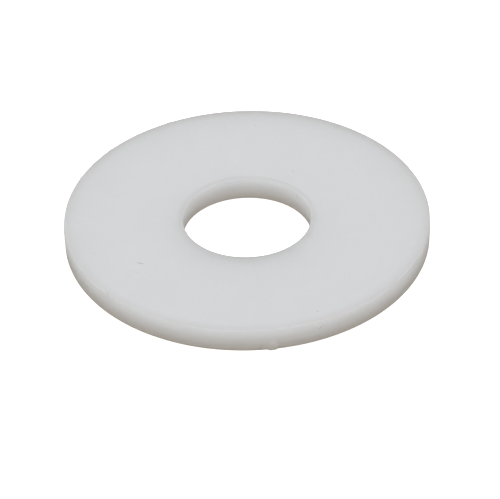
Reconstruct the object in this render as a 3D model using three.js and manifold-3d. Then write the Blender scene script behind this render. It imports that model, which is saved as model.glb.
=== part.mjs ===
// Flat washer: a single moulded nylon disc with a plain round hole through it.
//
// Units are millimetres. +Z is the washer's axis, pointing out of its top face, and the origin
// is the middle of its underside. The moulding gate was on the rim, a little to +X of -Y.

import * as THREE from 'three';
import { mergeVertices } from 'three/addons/utils/BufferGeometryUtils.js';
import Module from 'manifold-3d';

// Driving dimensions: a large-series washer is three screw diameters across, and its hole is
// a twentieth wider than the screw.
const SCREW_DIAMETER = 8;
const OUTER_RADIUS = (SCREW_DIAMETER * 3) / 2;
const BORE_RADIUS = (SCREW_DIAMETER * 1.05) / 2;
const THICKNESS = 1.6;

// What the mould leaves. It opened at the top face, so that face's edges are sharp, and both
// walls draw in below it towards the mould's floor, where the edges are rounded.
const DRAFT = THREE.MathUtils.degToRad(1.5);
const FLOOR_EDGE_RADIUS = 0.15;

// The stub that is left where the runner was snapped off the rim. Its angle is from +X.
const GATE_ANGLE = THREE.MathUtils.degToRad(-83.1);
const GATE_BASE_WIDTH = 0.8;
const GATE_TIP_WIDTH = 0.5;
const GATE_TIP_RADIUS = OUTER_RADIUS + 0.05;
const GATE_ROOT_RADIUS = OUTER_RADIUS - 0.4;
const GATE_BOTTOM = 0.05;
const GATE_TOP = 0.9;

// Facets round the washer, and half the facets of each rounded edge.
const SEGMENTS = 128;
const EDGE_DIVISIONS = 3;

// The washer's section in the (radius, height) plane, drawn anticlockwise from the rim's top
// corner. Each wall is a straight line that leans by the draft and meets its floor edge
// smoothly, so the arc stops short of a quarter turn.
function sectionPoints() {
  const edgeStart = FLOOR_EDGE_RADIUS * (1 - Math.sin(DRAFT));
  const drawIn = (THICKNESS - edgeStart) * Math.tan(DRAFT);
  const edgeCentreInset = drawIn + FLOOR_EDGE_RADIUS * Math.cos(DRAFT);

  const section = new THREE.Path();
  section.moveTo(OUTER_RADIUS, THICKNESS);
  section.lineTo(BORE_RADIUS, THICKNESS);
  section.absarc(
    BORE_RADIUS + edgeCentreInset, FLOOR_EDGE_RADIUS, FLOOR_EDGE_RADIUS,
    Math.PI + DRAFT, Math.PI * 1.5, false,
  );
  section.absarc(
    OUTER_RADIUS - edgeCentreInset, FLOOR_EDGE_RADIUS, FLOOR_EDGE_RADIUS,
    Math.PI * 1.5, Math.PI * 2 - DRAFT, false,
  );
  section.lineTo(OUTER_RADIUS, THICKNESS);
  return section.getPoints(EDGE_DIVISIONS);
}

function discGeometry() {
  const disc = new THREE.LatheGeometry(sectionPoints(), SEGMENTS);
  disc.rotateX(Math.PI / 2);
  return disc;
}

// The stub tapers outwards in plan and stands upright against the rim.
function gateGeometry() {
  const plan = new THREE.Shape();
  plan.moveTo(GATE_ROOT_RADIUS, -GATE_BASE_WIDTH / 2);
  plan.lineTo(GATE_TIP_RADIUS, -GATE_TIP_WIDTH / 2);
  plan.lineTo(GATE_TIP_RADIUS, GATE_TIP_WIDTH / 2);
  plan.lineTo(GATE_ROOT_RADIUS, GATE_BASE_WIDTH / 2);
  plan.closePath();
  const stub = new THREE.ExtrudeGeometry(plan, {
    depth: GATE_TOP - GATE_BOTTOM,
    bevelEnabled: false,
  });
  stub.translate(0, 0, GATE_BOTTOM);
  stub.rotateZ(GATE_ANGLE);
  return stub;
}

const wasm = await Module();
wasm.setup();

function toSolid(geometry) {
  const surface = geometry.clone();
  surface.deleteAttribute('normal');
  surface.deleteAttribute('uv');
  const merged = mergeVertices(surface);
  return new wasm.Manifold(new wasm.Mesh({
    numProp: 3,
    vertProperties: new Float32Array(merged.attributes.position.array),
    triVerts: new Uint32Array(merged.index.array),
  }));
}

function toGeometry(solid) {
  const mesh = solid.getMesh();
  const geometry = new THREE.BufferGeometry();
  geometry.setAttribute('position', new THREE.BufferAttribute(mesh.vertProperties, 3));
  geometry.setIndex(new THREE.BufferAttribute(mesh.triVerts, 1));
  geometry.computeVertexNormals();
  return geometry;
}

// The whole washer is one moulding, so the stub is joined to the disc.
function makeWasher() {
  const moulding = toSolid(discGeometry()).add(toSolid(gateGeometry()));
  const naturalNylon = new THREE.MeshStandardMaterial({
    color: 0xd9dbda,
    roughness: 0.5,
    metalness: 0,
  });
  const washer = new THREE.Mesh(toGeometry(moulding), naturalNylon);
  washer.name = 'washer';
  return washer;
}

const part = new THREE.Group();
part.add(makeWasher());

export default part;
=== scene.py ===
"""Flat washer: one injection-moulded disc of natural nylon with a plain round hole.

Laid out as a Blender add-on and run as a script. Sizes are in metres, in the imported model's
frame: +Z is the washer's axis, and its underside lies on the floor at height 0.
"""

import math

import bmesh
import bpy
from bpy.props import FloatProperty, FloatVectorProperty, IntProperty, PointerProperty
from mathutils import Matrix, Vector, noise


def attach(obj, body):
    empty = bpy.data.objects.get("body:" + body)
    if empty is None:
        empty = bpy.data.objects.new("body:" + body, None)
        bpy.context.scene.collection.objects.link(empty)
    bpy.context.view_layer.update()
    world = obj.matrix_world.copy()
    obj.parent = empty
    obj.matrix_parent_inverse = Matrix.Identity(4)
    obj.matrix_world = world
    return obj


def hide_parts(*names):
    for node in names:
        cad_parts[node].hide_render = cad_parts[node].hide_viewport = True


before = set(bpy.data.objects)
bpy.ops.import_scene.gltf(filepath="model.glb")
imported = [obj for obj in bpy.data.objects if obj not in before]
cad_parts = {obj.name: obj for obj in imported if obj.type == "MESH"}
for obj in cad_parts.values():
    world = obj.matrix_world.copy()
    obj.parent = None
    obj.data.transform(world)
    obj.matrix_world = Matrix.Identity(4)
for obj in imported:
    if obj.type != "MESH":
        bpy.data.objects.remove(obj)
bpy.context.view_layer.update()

bl_info = {
    "name": "Flat washer",
    "version": (1, 0, 0),
    "blender": (4, 5, 0),
    "location": "3D View > Sidebar > Washer",
    "description": "Moulds a flat nylon washer over its packed model and lights it",
    "category": "Object",
}

NODE = "washer"
PIECE = "washer_moulding"
MM = 0.001
LEVEL_WITHIN = 0.01 * MM  # corners this close in height are on the same flat face


def packed_sizes():
    """Rim radius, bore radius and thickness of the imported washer, read from its top face."""
    corners = [vert.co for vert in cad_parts[NODE].data.vertices]
    top = max(co.z for co in corners)
    radii = [co.xy.length for co in corners if top - co.z < LEVEL_WITHIN]
    return max(radii), min(radii), top


RIM_RADIUS, BORE_RADIUS, THICKNESS = packed_sizes()


def linear(hex_colour):
    """An sRGB hex colour, such as "D9DBDA", as linear red, green, blue and alpha."""
    shares = [int(hex_colour[at : at + 2], 16) / 255 for at in (0, 2, 4)]
    return tuple(
        share / 12.92 if share <= 0.04045 else ((share + 0.055) / 1.055) ** 2.4
        for share in shares
    ) + (1.0,)


def smooth_step(value, start, end):
    """0 at start, 1 at end and an even S between them. The end may be below the start."""
    share = min(max((value - start) / (end - start), 0.0), 1.0)
    return share * share * (3.0 - 2.0 * share)


# ---- Settings ---------------------------------------------------------------------------


def length(name, description, default):
    return FloatProperty(
        name=name, description=description, default=default, precision=5,
        unit="LENGTH", subtype="DISTANCE",
    )


def angle(name, description, degrees):
    return FloatProperty(
        name=name, description=description, default=math.radians(degrees),
        unit="ROTATION", subtype="ANGLE",
    )


def colour(name, description, hex_colour):
    return FloatVectorProperty(
        name=name, description=description, default=linear(hex_colour),
        size=4, min=0.0, max=1.0, subtype="COLOR",
    )


class WasherMoulding(bpy.types.PropertyGroup):
    """Sizes of the moulded washer."""

    outer_diameter: length("Outer diameter", "Across the rim, at the top face", 2 * RIM_RADIUS)
    bore_diameter: length("Hole diameter", "Across the hole, at the top face", 2 * BORE_RADIUS)
    thickness: length("Thickness", "From the underside to the top face", THICKNESS)
    draft: angle("Draft", "How far the walls lean in towards the underside", 2.2)
    floor_edge: length("Lower edge radius", "Rounding of the two lower edges", 0.10 * MM)
    top_edge: length("Upper edge radius", "Rounding of the upper rim edge", 0.06 * MM)
    crown_width: length("Crown width", "How far in from its edges the top face rises", 0.80 * MM)
    crown_height: length("Crown height", "How far the top face rises above its edges", 0.03 * MM)
    lean: angle("Upper lean", "How far the walls' upper parts lean in towards the top", 2.5)
    lean_depth: length("Lean depth", "How far down from the top face the walls lean", 0.50 * MM)
    flash_height: length("Flash height", "Height of the thin ridge round the hole", 0.03 * MM)
    flash_width: length("Flash width", "Width of the thin ridge round the hole", 0.14 * MM)
    gate_angle: angle("Gate angle", "Where on the rim the gate was, from +X", -83.1)
    gate_width: length("Gate width", "Width of the snapped gate stub, at its foot", 0.66 * MM)
    gate_height: length("Gate height", "How far up the rim the gate stub reaches", 1.00 * MM)
    gate_reach: length("Gate reach", "How far the gate stub stands out of the rim", 0.11 * MM)
    sectors: IntProperty(
        name="Sectors", description="Equal sectors round the washer", default=30, min=3,
    )
    sector_steps: IntProperty(
        name="Sector steps", description="Faces round one sector", default=30, min=1,
    )


class NylonFinish(bpy.types.PropertyGroup):
    """Colours of the nylon, and of the shade painted on it."""

    body: colour("Nylon", "Natural nylon, undyed", "D4D8DB")
    cloud: colour("Cloud", "Where the nylon is a little denser", "CCCFD3")
    # Painted shade: this colour darkens the top face in bands along its edges, by amounts that
    # differ between -Y, the sides and +Y.
    edge_shade: colour("Painted edge shade", "Shade painted along the edges of the faces", "C9C9CD")
    # This dark colour gives the dust and the scratch, and is also painted shade on the rim's wall
    # beside the gate stub and in the nick in the bore.
    speck_and_shade: colour("Speck and shade", "Dust pressed into the surface, grime in a scratch, and painted shade beside the gate stub and in the nick", "8E8A84")
    # This colour makes the gate stub lighter than the nylon round it.
    snapped: colour("Snapped nylon", "Lighter nylon on the gate stub", "E9EBF2")


class StageSettings(bpy.types.PropertyGroup):
    """Floor, light and camera."""

    floor: colour("Floor", "Matt white acrylic sheet", "F4F4F4")
    glow: FloatProperty(
        name="Floor glow", description="Light that comes up through the sheet", default=0.80,
    )
    zenith: colour("Overhead", "Light from overhead", "E9EEF4")
    front_wall: colour("Wall in front", "Light from behind the camera", "FFFAF5")
    back_wall: colour("Wall behind", "Light from beyond the washer", "E6E6E6")
    ground: colour("Below", "Light from under the washer", "B9AE9F")
    backdrop: colour("Backdrop", "The room as the camera sees it", "FFFFFF")
    backdrop_strength: FloatProperty(
        name="Backdrop strength", description="Just past plain white", default=1.1, min=0.0,
    )
    sky_strength: FloatProperty(
        name="Sky strength", description="Brightness of the white room", default=0.668, min=0.0,
    )
    key_strength: FloatProperty(
        name="Softbox strength", description="Brightness of the softbox", default=1.63, min=0.0,
    )
    key_spread: angle("Softbox spread", "How wide the softbox looks from the washer", 60)
    key_height: angle("Softbox height", "How high the softbox stands", 78)
    key_turn: angle("Softbox turn", "Where the softbox stands, from the camera's side", -12)
    camera_distance: length("Camera distance", "From the washer to the lens", 312 * MM)
    camera_height: angle("Camera height", "How high above the floor the camera looks from", 37.4)
    camera_roll: angle("Camera roll", "How far the camera is turned about its own axis", 1.47)
    aim_right: length("Aim right", "How far right of the washer's middle it looks", 0.174 * MM)
    aim_down: length("Aim down", "How far below the washer's middle it looks", 0.820 * MM)
    focal_length: FloatProperty(
        name="Focal length", description="In millimetres, on a 36 mm sensor", default=341.5,
    )


# ---- The moulding -----------------------------------------------------------------------

ROUNDING_STEPS = 6  # faces across a rounded corner
RIDGE_STEPS = 2  # and across the much smaller corners of the ridge round the hole
FINE_STEP = 0.13 * MM  # longest face on the walls and along the edges of the top face
COARSE_STEP = 0.65 * MM  # longest face on the broad flats
BROAD_FLAT = 1.0 * MM  # a stretch of the section at least this wide is a broad flat
GATE_ROOT = 0.3 * MM  # how far in from the rim the gate stub starts
DENT_ROOT = 0.2 * MM  # how far back from the bore's wall a dent starts
SEAM = 0.0001 * MM  # corners this close together are one corner
MARK_CORE = 0.2  # the share of a dent's or a mark's reach that has its full strength


def section_corners(size):
    """The section's corners as (radius, height, rounding), from the rim over the top face to
    the ridge round the hole, down the bore and back along the underside."""
    rim = size.outer_diameter / 2
    bore = size.bore_diameter / 2
    top = size.thickness
    belly = top - size.lean_depth
    swell = size.lean_depth * math.tan(size.lean)
    draw_in = belly * math.tan(size.draft) - swell
    crest = size.flash_width / 4
    ease = size.flash_height
    return [
        (rim, top, size.top_edge),
        (rim - size.crown_width, top + size.crown_height, 0.0),
        (bore + size.crown_width, top + size.crown_height, 0.0),
        (bore + size.flash_width, top, ease),
        (bore + crest, top + size.flash_height, ease),
        (bore, top - ease, ease),
        (bore - swell, belly, size.lean_depth / 2),
        (bore + draw_in, 0.0, size.floor_edge),
        (rim - draw_in, 0.0, size.floor_edge),
        (rim + swell, belly, size.lean_depth / 2),
    ]


def draw_section(bm, size):
    """Draws the section as one face in the XZ plane, rounds its corners and keeps its outline."""
    corners = section_corners(size)
    verts = [bm.verts.new((radius, 0.0, height)) for radius, height, _ in corners]
    bm.faces.new(verts)
    for vert, (_, _, rounding) in zip(verts, corners):
        if rounding:
            bmesh.ops.bevel(
                bm, geom=[vert], offset=rounding, offset_type="OFFSET",
                segments=ROUNDING_STEPS if rounding >= size.top_edge else RIDGE_STEPS,
                profile=0.5, affect="VERTICES", material=-1,
            )
    bmesh.ops.delete(bm, geom=bm.faces[:], context="FACES_ONLY")


def divide_outline(bm, longest):
    """Divides the outline's long stretches evenly, into pieces no longer than longest(edge)."""
    for edge in bm.edges[:]:
        cuts = math.ceil(edge.calc_length() / longest(edge)) - 1
        if cuts > 0:
            bmesh.ops.subdivide_edges(bm, edges=[edge], cuts=cuts)


def wall_or_face(edge):
    """The walls carry the gate and the nick, and the top face curves down near its edges, so
    these are divided more finely than the broad flats."""
    across = abs(edge.verts[0].co.x - edge.verts[1].co.x)
    return FINE_STEP if across < BROAD_FLAT else COARSE_STEP


def ease_crown(bm, size):
    """Rounds the slopes of the crown, which the section draws straight. The crown is there
    because the edges of the top face cooled first in the mould."""
    rim = size.outer_diameter / 2
    bore = size.bore_diameter / 2
    for vert in bm.verts:
        if size.thickness < vert.co.z:
            to_edge = min(rim - vert.co.x, vert.co.x - bore) / size.crown_width
            if size.flash_width / size.crown_width < to_edge < 1.0:
                vert.co.z += size.crown_height * (1.0 - to_edge) * to_edge


def push_out(vert, distance):
    """Moves a vertex straight away from the washer's axis."""
    outwards = Vector((vert.co.x, vert.co.y, 0.0)).normalized()
    vert.co += outwards * distance


def turn_from(vert, bearing):
    """The angle from a bearing round the axis to a vertex, between half a turn each way."""
    turn = math.atan2(vert.co.y, vert.co.x) - bearing
    return (turn + math.pi) % (2 * math.pi) - math.pi


def raise_gate(bm, size):
    """Pulls the snapped gate stub out of the rim. It widens and stands out towards the
    underside, and its face is torn."""
    rim = size.outer_diameter / 2
    tip_share = 0.45  # its width at the top, as a share of its width at the foot
    full_below = 0.25 * size.gate_height  # it has its full width and reach below this
    flat_share = 0.60  # the share of its width that stands out fully
    tear_depth, tear_length = 0.25, 0.16 * MM
    for vert in bm.verts:
        if vert.co.xy.length < rim - GATE_ROOT:
            continue
        rise = smooth_step(vert.co.z, size.gate_height, full_below)
        half_width = size.gate_width / 2 * (tip_share + (1.0 - tip_share) * rise)
        across = abs(turn_from(vert, size.gate_angle)) * rim
        inside = 1.0 - smooth_step(across, half_width * flat_share, half_width)
        torn = 1.0 + tear_depth * noise.noise(vert.co / tear_length)
        push_out(vert, size.gate_reach * rise * inside * torn)


def roughen_edges(bm, size):
    """The top edges aren't perfect circles: the rim and the bore wander by a few thousandths
    of a millimetre there, and the rim has burrs of a few hundredths."""
    rim = size.outer_diameter / 2
    bore = size.bore_diameter / 2
    burrs = [  # bearing in degrees, reach and half width in millimetres
        (115.1, 0.030, 0.35),
        (138.8, 0.035, 0.30),
        (141.6, 0.020, 0.25),
        (147.5, 0.030, 0.35),
        (155.9, 0.020, 0.40),
        (-66.0, 0.015, 0.30),
        (-9.8, 0.030, 0.30),
    ]
    wander_reach, wander_length = 0.006 * MM, 0.7 * MM
    fade_from, fade_to = size.thickness * 0.80, size.thickness * 0.98
    for vert in bm.verts:
        radius = vert.co.xy.length
        near_top = smooth_step(vert.co.z, fade_from, fade_to)
        if not near_top:
            continue
        spot = Vector((vert.co.x, vert.co.y, 0.0))
        wander = wander_reach * noise.noise(spot / wander_length)
        if radius > rim - size.flash_width:
            for bearing, reach, half_width in burrs:
                across = abs(turn_from(vert, math.radians(bearing))) * rim
                wander += reach * MM * (1.0 - smooth_step(across, 0.0, half_width * MM))
            push_out(vert, wander * near_top)
        elif radius < bore + size.flash_width:
            push_out(vert, -wander * near_top)


def dent_bore(bm, size):
    """A nick in the bore's wall, and a small burr on its upper edge."""
    bore = size.bore_diameter / 2
    dents = [  # bearing in degrees, height as a share, depth, half width and half height in mm
        (37.9, 0.81, 0.05, 0.09, 0.20),  # the nick
        (-160.0, 0.97, -0.03, 0.10, 0.12),  # the burr, which stands into the hole
    ]
    for vert in bm.verts:
        if vert.co.xy.length > bore + DENT_ROOT:
            continue
        for bearing, share, depth, half_width, half_height in dents:
            across = turn_from(vert, math.radians(bearing)) * bore / (half_width * MM)
            along = (vert.co.z - share * size.thickness) / (half_height * MM)
            inside = 1.0 - smooth_step(math.hypot(across, along), MARK_CORE, 1.0)
            push_out(vert, depth * MM * inside)


def spin_outline(bm, size):
    """Spins the outline through one sector, then copies the sector round the axis. That gives
    the same skin as one full turn, in a small part of the time."""
    turn = 2 * math.pi / size.sectors
    centre, axis = (0.0, 0.0, 0.0), (0.0, 0.0, 1.0)
    bmesh.ops.spin(
        bm, geom=bm.verts[:] + bm.edges[:], cent=centre, axis=axis,
        angle=turn, steps=size.sector_steps,
    )
    bmesh.ops.spin(
        bm, geom=bm.verts[:] + bm.edges[:] + bm.faces[:], cent=centre, axis=axis,
        angle=turn * (size.sectors - 1), steps=size.sectors - 1, use_duplicate=True,
    )
    bmesh.ops.remove_doubles(bm, verts=bm.verts[:], dist=SEAM)


def washer_mesh(size):
    """Spins the section round the axis and adds what the mould and handling left on it."""
    bm = bmesh.new()
    draw_section(bm, size)
    divide_outline(bm, wall_or_face)
    ease_crown(bm, size)
    spin_outline(bm, size)
    raise_gate(bm, size)
    roughen_edges(bm, size)
    dent_bore(bm, size)
    bmesh.ops.recalc_face_normals(bm, faces=bm.faces[:])
    for face in bm.faces:
        face.smooth = True
    mesh = bpy.data.meshes.new(PIECE)
    bm.to_mesh(mesh)
    bm.free()
    return mesh


# ---- Materials --------------------------------------------------------------------------

# Sizes of the patterns in the nylon, and of the pits in the sheet under it.
CLOUD_SIZE = 2.5 * MM
MOTTLE_SIZE = 0.2 * MM
MOTTLE_SHARE = 0.55
SHEEN_SIZE = 0.6 * MM
GRAIN_SIZE = 0.10 * MM  # the real grain is finer, and is drawn this coarse so that it shows
GRAIN_DEPTH = 0.004 * MM
MARK_DEPTH = 0.2 * MM  # how far through the nylon a mark's mask reaches
EDGE_SHADE_DEPTH = 0.14 * MM  # how far down the walls the bands of painted edge shade fade out
EDGE_SHADE_CORNER = 0.04 * MM  # how far down they keep their full strength
PIT_SIZE = 0.3 * MM
PIT_DEPTH = 0.01 * MM

# Marks on the top face: x, y, half length and half width in mm, turn in degrees, strength.
FACE_MARKS = (
    (-6.98, -4.64, 0.40, 0.055, -21.5, 0.70),  # a scratch
    (-7.35, -5.55, 0.40, 0.05, -18.0, 0.12),  # two scuffs beside it
    (-7.70, -5.85, 0.30, 0.05, -25.0, 0.10),
    (-9.06, -7.72, 0.28, 0.05, -62.0, 0.40),  # a knock on the rim
    (0.71, 10.17, 0.11, 0.09, 0.0, 0.25),  # specks of dust
    (3.13, 4.95, 0.08, 0.28, 0.0, 0.18),
    (4.36, -10.13, 0.10, 0.14, 0.0, 0.27),
    (-9.97, -3.51, 0.09, 0.10, 0.0, 0.18),
)
# Marks on the walls, two of them painted shade: wall, bearing in degrees, height, half length and
# half width in mm, slope in degrees, strength.
WALL_MARKS = (
    ("rim", -68.0, 1.08, 0.17, 0.055, 51.0, 0.55),  # a hooked hairline scratch
    ("rim", -67.1, 1.20, 0.22, 0.045, 14.0, 0.30),
    ("rim", -86.9, 0.14, 0.24, 0.18, 0.0, 0.30),  # painted shade beside the gate stub
    ("bore", 37.9, 1.30, 0.20, 0.06, 90.0, 0.30),  # painted shade in the nick
)


def add_node(tree, kind, inputs=None, **settings):
    """Adds a node with its settings. An input is a value, or the socket that it is linked to."""
    node = tree.nodes.new(kind)
    for name, value in settings.items():
        setattr(node, name, value)
    for name, value in (inputs or {}).items():
        if isinstance(value, bpy.types.NodeSocket):
            tree.links.new(value, node.inputs[name])
        else:
            node.inputs[name].default_value = value
    return node


def new_material(name):
    """An empty node material and its output node."""
    material = bpy.data.materials.new(name)
    material.use_nodes = True
    material.node_tree.nodes.clear()
    output = material.node_tree.nodes.new("ShaderNodeOutputMaterial")
    return material, material.node_tree, output


def oval_mark(tree, where, place, reach, turn, slope=0.0, strength=1.0, core=MARK_CORE):
    """A soft oval mark: strength in its core and 0 outside it. Its length lies along the
    turn round the axis, and rises by the slope."""
    local = add_node(
        tree, "ShaderNodeMapping",
        {"Vector": where, "Location": place, "Rotation": (0.0, -slope, turn), "Scale": reach},
        vector_type="TEXTURE",
    )
    away = add_node(tree, "ShaderNodeVectorMath", {0: local.outputs["Vector"]}, operation="LENGTH")
    return add_node(
        tree, "ShaderNodeMapRange",
        {"Value": away.outputs["Value"], "From Min": 1.0, "From Max": core, "To Max": strength},
        interpolation_type="SMOOTHSTEP",
    ).outputs["Result"]


def on_wall(diameter, bearing, height):
    """A place on the wall of that diameter."""
    return (diameter / 2 * math.cos(bearing), diameter / 2 * math.sin(bearing), height)


def marks_and_painted_shade(tree, where, size):
    """The scratches, knocks and specks, and the painted shade beside the gate stub and in the
    nick, each as a mask over the nylon.
    """
    for x, y, half_length, half_width, turn, strength in FACE_MARKS:
        place = (x * MM, y * MM, size.thickness)
        reach = (half_length * MM, half_width * MM, MARK_DEPTH)
        yield oval_mark(tree, where, place, reach, math.radians(turn), strength=strength)
    diameters = {"rim": size.outer_diameter, "bore": size.bore_diameter}
    for wall, bearing, height, half_length, half_width, slope, strength in WALL_MARKS:
        place = on_wall(diameters[wall], math.radians(bearing), height * MM)
        reach = (half_length * MM, MARK_DEPTH, half_width * MM)
        turn = math.radians(bearing + 90.0)
        yield oval_mark(tree, where, place, reach, turn, math.radians(slope), strength)


def edge_shade_band(tree, where, top, radius, width, strengths):
    """A mask of painted shade on a ring of that radius on the top face, which darkens the face
    near its edges. It is 0 a width away from the ring and down the walls. Its strengths are at -Y,
    at the sides and at +Y."""
    front, sides, back = strengths
    flat = add_node(
        tree, "ShaderNodeVectorMath", {0: where, 1: (1.0, 1.0, 0.0)}, operation="MULTIPLY",
    )
    out = add_node(tree, "ShaderNodeVectorMath", {0: flat.outputs["Vector"]}, operation="LENGTH")
    past = add_node(
        tree, "ShaderNodeMath", {0: out.outputs["Value"], 1: radius}, operation="SUBTRACT",
    )
    gap = add_node(tree, "ShaderNodeMath", {0: past.outputs["Value"]}, operation="ABSOLUTE")
    up = add_node(tree, "ShaderNodeSeparateXYZ", {"Vector": where})
    # The painted shade's strength changes from -Y over the sides to +Y.
    front_half = add_node(
        tree, "ShaderNodeMapRange",
        {
            "Value": up.outputs["Y"], "From Min": -radius, "From Max": 0.0,
            "To Min": front, "To Max": sides,
        },
    )
    shade_strength = add_node(
        tree, "ShaderNodeMapRange",
        {
            "Value": up.outputs["Y"], "From Min": 0.0, "From Max": radius,
            "To Min": front_half.outputs["Result"], "To Max": back,
        },
    )
    near = add_node(
        tree, "ShaderNodeMapRange",
        {
            "Value": gap.outputs["Value"], "From Min": width, "From Max": 0.0,
            "To Max": shade_strength.outputs["Result"],
        },
        interpolation_type="SMOOTHSTEP",
    )
    return add_node(
        tree, "ShaderNodeMapRange",
        {
            "Value": up.outputs["Z"], "From Min": top - EDGE_SHADE_DEPTH,
            "From Max": top - EDGE_SHADE_CORNER, "To Max": near.outputs["Result"],
        },
    ).outputs["Result"]


def nylon_colour(tree, where, finish, size):
    """Milky nylon with soft clouds in it, painted shade in bands along the edges of the top face,
    the worn marks, painted shade beside the gate stub and in the nick, and whiter nylon where the
    gate was snapped off."""
    clouds = add_node(
        tree, "ShaderNodeTexNoise", {"Vector": where, "Scale": 1.0 / CLOUD_SIZE, "Detail": 3.0},
    )
    mottle = add_node(
        tree, "ShaderNodeTexNoise", {"Vector": where, "Scale": 1.0 / MOTTLE_SIZE, "Detail": 2.0},
    )
    milkiness = add_node(
        tree, "ShaderNodeMix",
        {0: MOTTLE_SHARE, 2: clouds.outputs["Fac"], 3: mottle.outputs["Fac"]},
    )
    tone = add_node(
        tree, "ShaderNodeMix",
        {0: milkiness.outputs[0], 6: finish.body, 7: finish.cloud}, data_type="RGBA",
    )
    rim = size.outer_diameter / 2
    bore = size.bore_diameter / 2
    bands = (  # radius, width and strengths of the bands of painted edge shade
        (rim - 0.12 * MM, 0.70 * MM, (0.9, 0.4, 1.0)),
        (bore + 0.18 * MM, 0.34 * MM, (0.1, 0.6, 1.0)),
    )
    # Mixes in the painted shade along the edges of the top face.
    for radius, width, strengths in bands:
        band = edge_shade_band(tree, where, size.thickness, radius, width, strengths)
        tone = add_node(
            tree, "ShaderNodeMix",
            {0: band, 6: tone.outputs[2], 7: finish.edge_shade}, data_type="RGBA",
        )
    # The worn marks, and the painted shade beside the gate stub and in the nick.
    for mark in marks_and_painted_shade(tree, where, size):
        tone = add_node(
            tree, "ShaderNodeMix",
            {0: mark, 6: tone.outputs[2], 7: finish.speck_and_shade}, data_type="RGBA",
        )
    # Makes the gate stub lighter than the nylon round it.
    gate_middle = on_wall(size.outer_diameter, size.gate_angle, size.gate_height * 0.22)
    gate_reach = (size.gate_width * 0.76, size.gate_width, size.gate_height * 0.85)
    gate_turn = size.gate_angle + math.pi / 2
    gate = oval_mark(tree, where, gate_middle, gate_reach, gate_turn, core=0.3)
    tone = add_node(
        tree, "ShaderNodeMix",
        {0: gate, 6: tone.outputs[2], 7: finish.snapped}, data_type="RGBA",
    )
    return tone.outputs[2]


def nylon_material(finish, size):
    """Natural nylon 66, injection moulded: milky and a little translucent, so light entering
    the faces leaks out of the edges and softens them, with a fine satin mould grain."""
    material, tree, output = new_material("nylon_66_natural_moulded")
    where = add_node(tree, "ShaderNodeTexCoord").outputs["Object"]
    tone = nylon_colour(tree, where, finish, size)
    grain = add_node(
        tree, "ShaderNodeTexNoise", {"Vector": where, "Scale": 1.0 / GRAIN_SIZE, "Detail": 2.0},
    )
    bump = add_node(
        tree, "ShaderNodeBump",
        {"Height": grain.outputs["Fac"], "Strength": 0.35, "Distance": GRAIN_DEPTH},
    )
    sheen = add_node(
        tree, "ShaderNodeTexNoise", {"Vector": where, "Scale": 1.0 / SHEEN_SIZE, "Detail": 2.0},
    )
    rough = add_node(
        tree, "ShaderNodeMapRange",
        {"Value": sheen.outputs["Fac"], "To Min": 0.78, "To Max": 0.88},
    )
    shader = add_node(
        tree, "ShaderNodeBsdfPrincipled",
        {
            "Base Color": tone,
            "Roughness": rough.outputs["Result"],
            "IOR": 1.53,
            "Subsurface Weight": 1.0,
            "Subsurface Radius": (1.0, 0.91, 0.87),
            "Subsurface Scale": 12.0 * MM,
            "Normal": bump.outputs["Normal"],
        },
        subsurface_method="RANDOM_WALK",
    )
    tree.links.new(shader.outputs["BSDF"], output.inputs["Surface"])
    return material


def sheet_material(stage):
    """Opal acrylic sheet, sandblasted: dull and even, with some light coming up through it."""
    material, tree, output = new_material("opal_acrylic_sandblasted")
    where = add_node(tree, "ShaderNodeTexCoord").outputs["Object"]
    pits = add_node(tree, "ShaderNodeTexNoise", {"Vector": where, "Scale": 1.0 / PIT_SIZE})
    blast = add_node(
        tree, "ShaderNodeBump",
        {"Height": pits.outputs["Fac"], "Strength": 0.1, "Distance": PIT_DEPTH},
    )
    shader = add_node(
        tree, "ShaderNodeBsdfPrincipled",
        {
            "Base Color": stage.floor,
            "Roughness": 1.0,
            "Specular IOR Level": 0.0,
            "Emission Strength": stage.glow,
            "Emission Color": stage.floor,
            "Normal": blast.outputs["Normal"],
        },
    )
    tree.links.new(shader.outputs["BSDF"], output.inputs["Surface"])
    return material


# ---- Stage ------------------------------------------------------------------------------

FLOOR_HALF_SIDE = 4.0
FLOOR_GAP = 0.01 * MM  # between the sheet and the washer's underside
HORIZON = -0.05  # how steeply down a ray looks once it sees only the ground
SOFTBOX_DISTANCE = 0.5
SENSOR_WIDTH = 36.0  # in millimetres
NEAREST_SEEN, FURTHEST_SEEN = 0.01, 20.0


def add_object(name, data):
    """Links a new object, which starts at the origin, unturned and unscaled."""
    thing = bpy.data.objects.new(name, data)
    bpy.context.scene.collection.objects.link(thing)
    return thing


def lay_floor(stage):
    """A wide sheet just under the washer. Diffuse and glossy rays pass through it, so that the
    room below lights the washer's walls."""
    bm = bmesh.new()
    bmesh.ops.create_grid(bm, x_segments=1, y_segments=1, size=FLOOR_HALF_SIDE)
    bmesh.ops.translate(bm, verts=bm.verts[:], vec=(0.0, 0.0, -FLOOR_GAP))
    mesh = bpy.data.meshes.new("floor")
    bm.to_mesh(mesh)
    bm.free()
    floor = add_object("floor", mesh)
    floor.data.materials.append(sheet_material(stage))
    floor.visible_diffuse = False
    floor.visible_glossy = False


def direction(turn, height):
    """The way to something at that height, turned from the camera's side towards +X."""
    level = math.cos(height)
    return Vector((math.sin(turn) * level, -math.cos(turn) * level, math.sin(height)))


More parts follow.
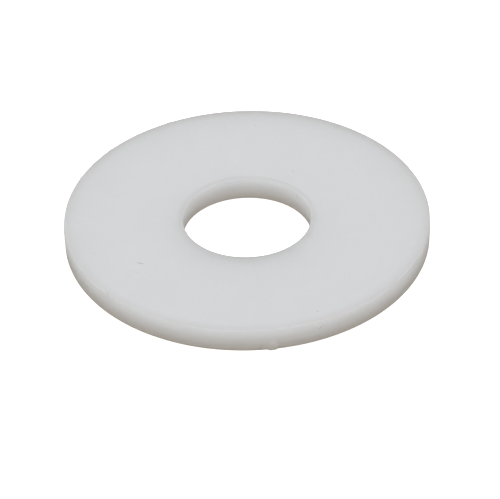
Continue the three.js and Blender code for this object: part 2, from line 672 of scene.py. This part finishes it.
def light_room(scene, stage):
    """A white room, brightest overhead and dim below, and one wide softbox nearly overhead.
    The camera sees the room itself as a plain white backdrop."""
    world = bpy.data.worlds.new("white_room")
    world.use_nodes = True
    tree = world.node_tree
    tree.nodes.clear()
    where = add_node(tree, "ShaderNodeTexCoord").outputs["Generated"]
    way = add_node(tree, "ShaderNodeSeparateXYZ", {"Vector": where})
    front = add_node(
        tree, "ShaderNodeMapRange",
        {"Value": way.outputs["Y"], "From Min": 1.0, "From Max": -1.0},
    )
    above = add_node(tree, "ShaderNodeMapRange", {"Value": way.outputs["Z"]})
    below = add_node(
        tree, "ShaderNodeMapRange",
        {"Value": way.outputs["Z"], "From Min": 0.0, "From Max": HORIZON},
    )
    walls = add_node(
        tree, "ShaderNodeMix",
        {0: front.outputs["Result"], 6: stage.back_wall, 7: stage.front_wall}, data_type="RGBA",
    )
    room = add_node(
        tree, "ShaderNodeMix",
        {0: above.outputs["Result"], 6: walls.outputs[2], 7: stage.zenith}, data_type="RGBA",
    )
    room = add_node(
        tree, "ShaderNodeMix",
        {0: below.outputs["Result"], 6: room.outputs[2], 7: stage.ground}, data_type="RGBA",
    )
    sky = add_node(
        tree, "ShaderNodeBackground", {"Color": room.outputs[2], "Strength": stage.sky_strength},
    )
    backdrop = add_node(
        tree, "ShaderNodeBackground",
        {"Color": stage.backdrop, "Strength": stage.backdrop_strength},
    )
    seen = add_node(tree, "ShaderNodeLightPath").outputs["Is Camera Ray"]
    shown = add_node(
        tree, "ShaderNodeMixShader",
        {0: seen, 1: sky.outputs["Background"], 2: backdrop.outputs["Background"]},
    )
    output = tree.nodes.new("ShaderNodeOutputWorld")
    tree.links.new(shown.outputs["Shader"], output.inputs["Surface"])
    scene.world = world

    key = bpy.data.lights.new("softbox", "SUN")
    key.energy = stage.key_strength
    key.angle = stage.key_spread
    softbox = add_object("softbox", key)
    towards = direction(stage.key_turn, stage.key_height)
    softbox.location = towards * SOFTBOX_DISTANCE
    softbox.rotation_euler = towards.to_track_quat("Z", "Y").to_euler()
    scene.view_settings.view_transform = "Standard"


def place_camera(scene, stage):
    """A long lens, aimed a little to the right of the washer's middle and below it."""
    data = bpy.data.cameras.new("camera")
    data.sensor_width = SENSOR_WIDTH
    data.lens = stage.focal_length
    data.clip_start = NEAREST_SEEN
    data.clip_end = FURTHEST_SEEN
    camera = add_object("camera", data)
    # Its right and up while it looks straight at the origin, rolled about the way it looks.
    back = direction(0.0, stage.camera_height)
    roll = Matrix.Rotation(-stage.camera_roll, 3, back)
    right = roll @ Vector((1.0, 0.0, 0.0))
    up = back.cross(right)
    # The same, once it is turned from there to the point that it is aimed at.
    aim = right * stage.aim_right - up * stage.aim_down
    place = back * stage.camera_distance
    back_from_aim = (place - aim).normalized()
    right = (right - back_from_aim * right.dot(back_from_aim)).normalized()
    up = back_from_aim.cross(right)
    turned = Matrix((right, up, back_from_aim)).transposed().to_4x4()
    camera.matrix_world = Matrix.Translation(place) @ turned
    scene.camera = camera


# ---- Operators --------------------------------------------------------------------------


class WASHER_OT_mould(bpy.types.Operator):
    """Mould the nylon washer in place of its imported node"""

    bl_idname = "washer.mould"
    bl_label = "Mould washer"

    def execute(self, context):
        size = context.scene.washer_moulding
        piece = add_object(PIECE, washer_mesh(size))
        piece.data.materials.append(nylon_material(context.scene.washer_nylon, size))
        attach(piece, "root")
        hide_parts(NODE)
        return {"FINISHED"}


class WASHER_OT_stage(bpy.types.Operator):
    """Lay the floor, hang the softbox and set up the camera"""

    bl_idname = "washer.stage"
    bl_label = "Set the stage"

    def execute(self, context):
        stage = context.scene.washer_stage
        lay_floor(stage)
        light_room(context.scene, stage)
        place_camera(context.scene, stage)
        return {"FINISHED"}


class WASHER_PT_panel(bpy.types.Panel):
    """Lists the washer's operators with their settings"""

    bl_idname = "WASHER_PT_panel"
    bl_label = "Flat washer"
    bl_space_type = "VIEW_3D"
    bl_region_type = "UI"
    bl_category = "Washer"

    def draw(self, context):
        layout = self.layout
        for operator, groups in OPERATORS:
            layout.operator(operator.bl_idname)
            for group in groups:
                settings = getattr(context.scene, group)
                for name in type(settings).__annotations__:
                    layout.prop(settings, name)


OPERATORS = (
    (WASHER_OT_mould, ("washer_moulding", "washer_nylon")),
    (WASHER_OT_stage, ("washer_stage",)),
)
SETTINGS = {
    "washer_moulding": WasherMoulding,
    "washer_nylon": NylonFinish,
    "washer_stage": StageSettings,
}
CLASSES = (*SETTINGS.values(), WASHER_OT_mould, WASHER_OT_stage, WASHER_PT_panel)


def register():
    for cls in CLASSES:
        bpy.utils.register_class(cls)
    for name, cls in SETTINGS.items():
        setattr(bpy.types.Scene, name, PointerProperty(type=cls))


def unregister():
    for name in SETTINGS:
        delattr(bpy.types.Scene, name)
    for cls in reversed(CLASSES):
        bpy.utils.unregister_class(cls)


def main():
    """Registers the add-on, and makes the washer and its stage."""
    register()
    bpy.ops.washer.mould()
    bpy.ops.washer.stage()


if __name__ == "__main__":
    main()
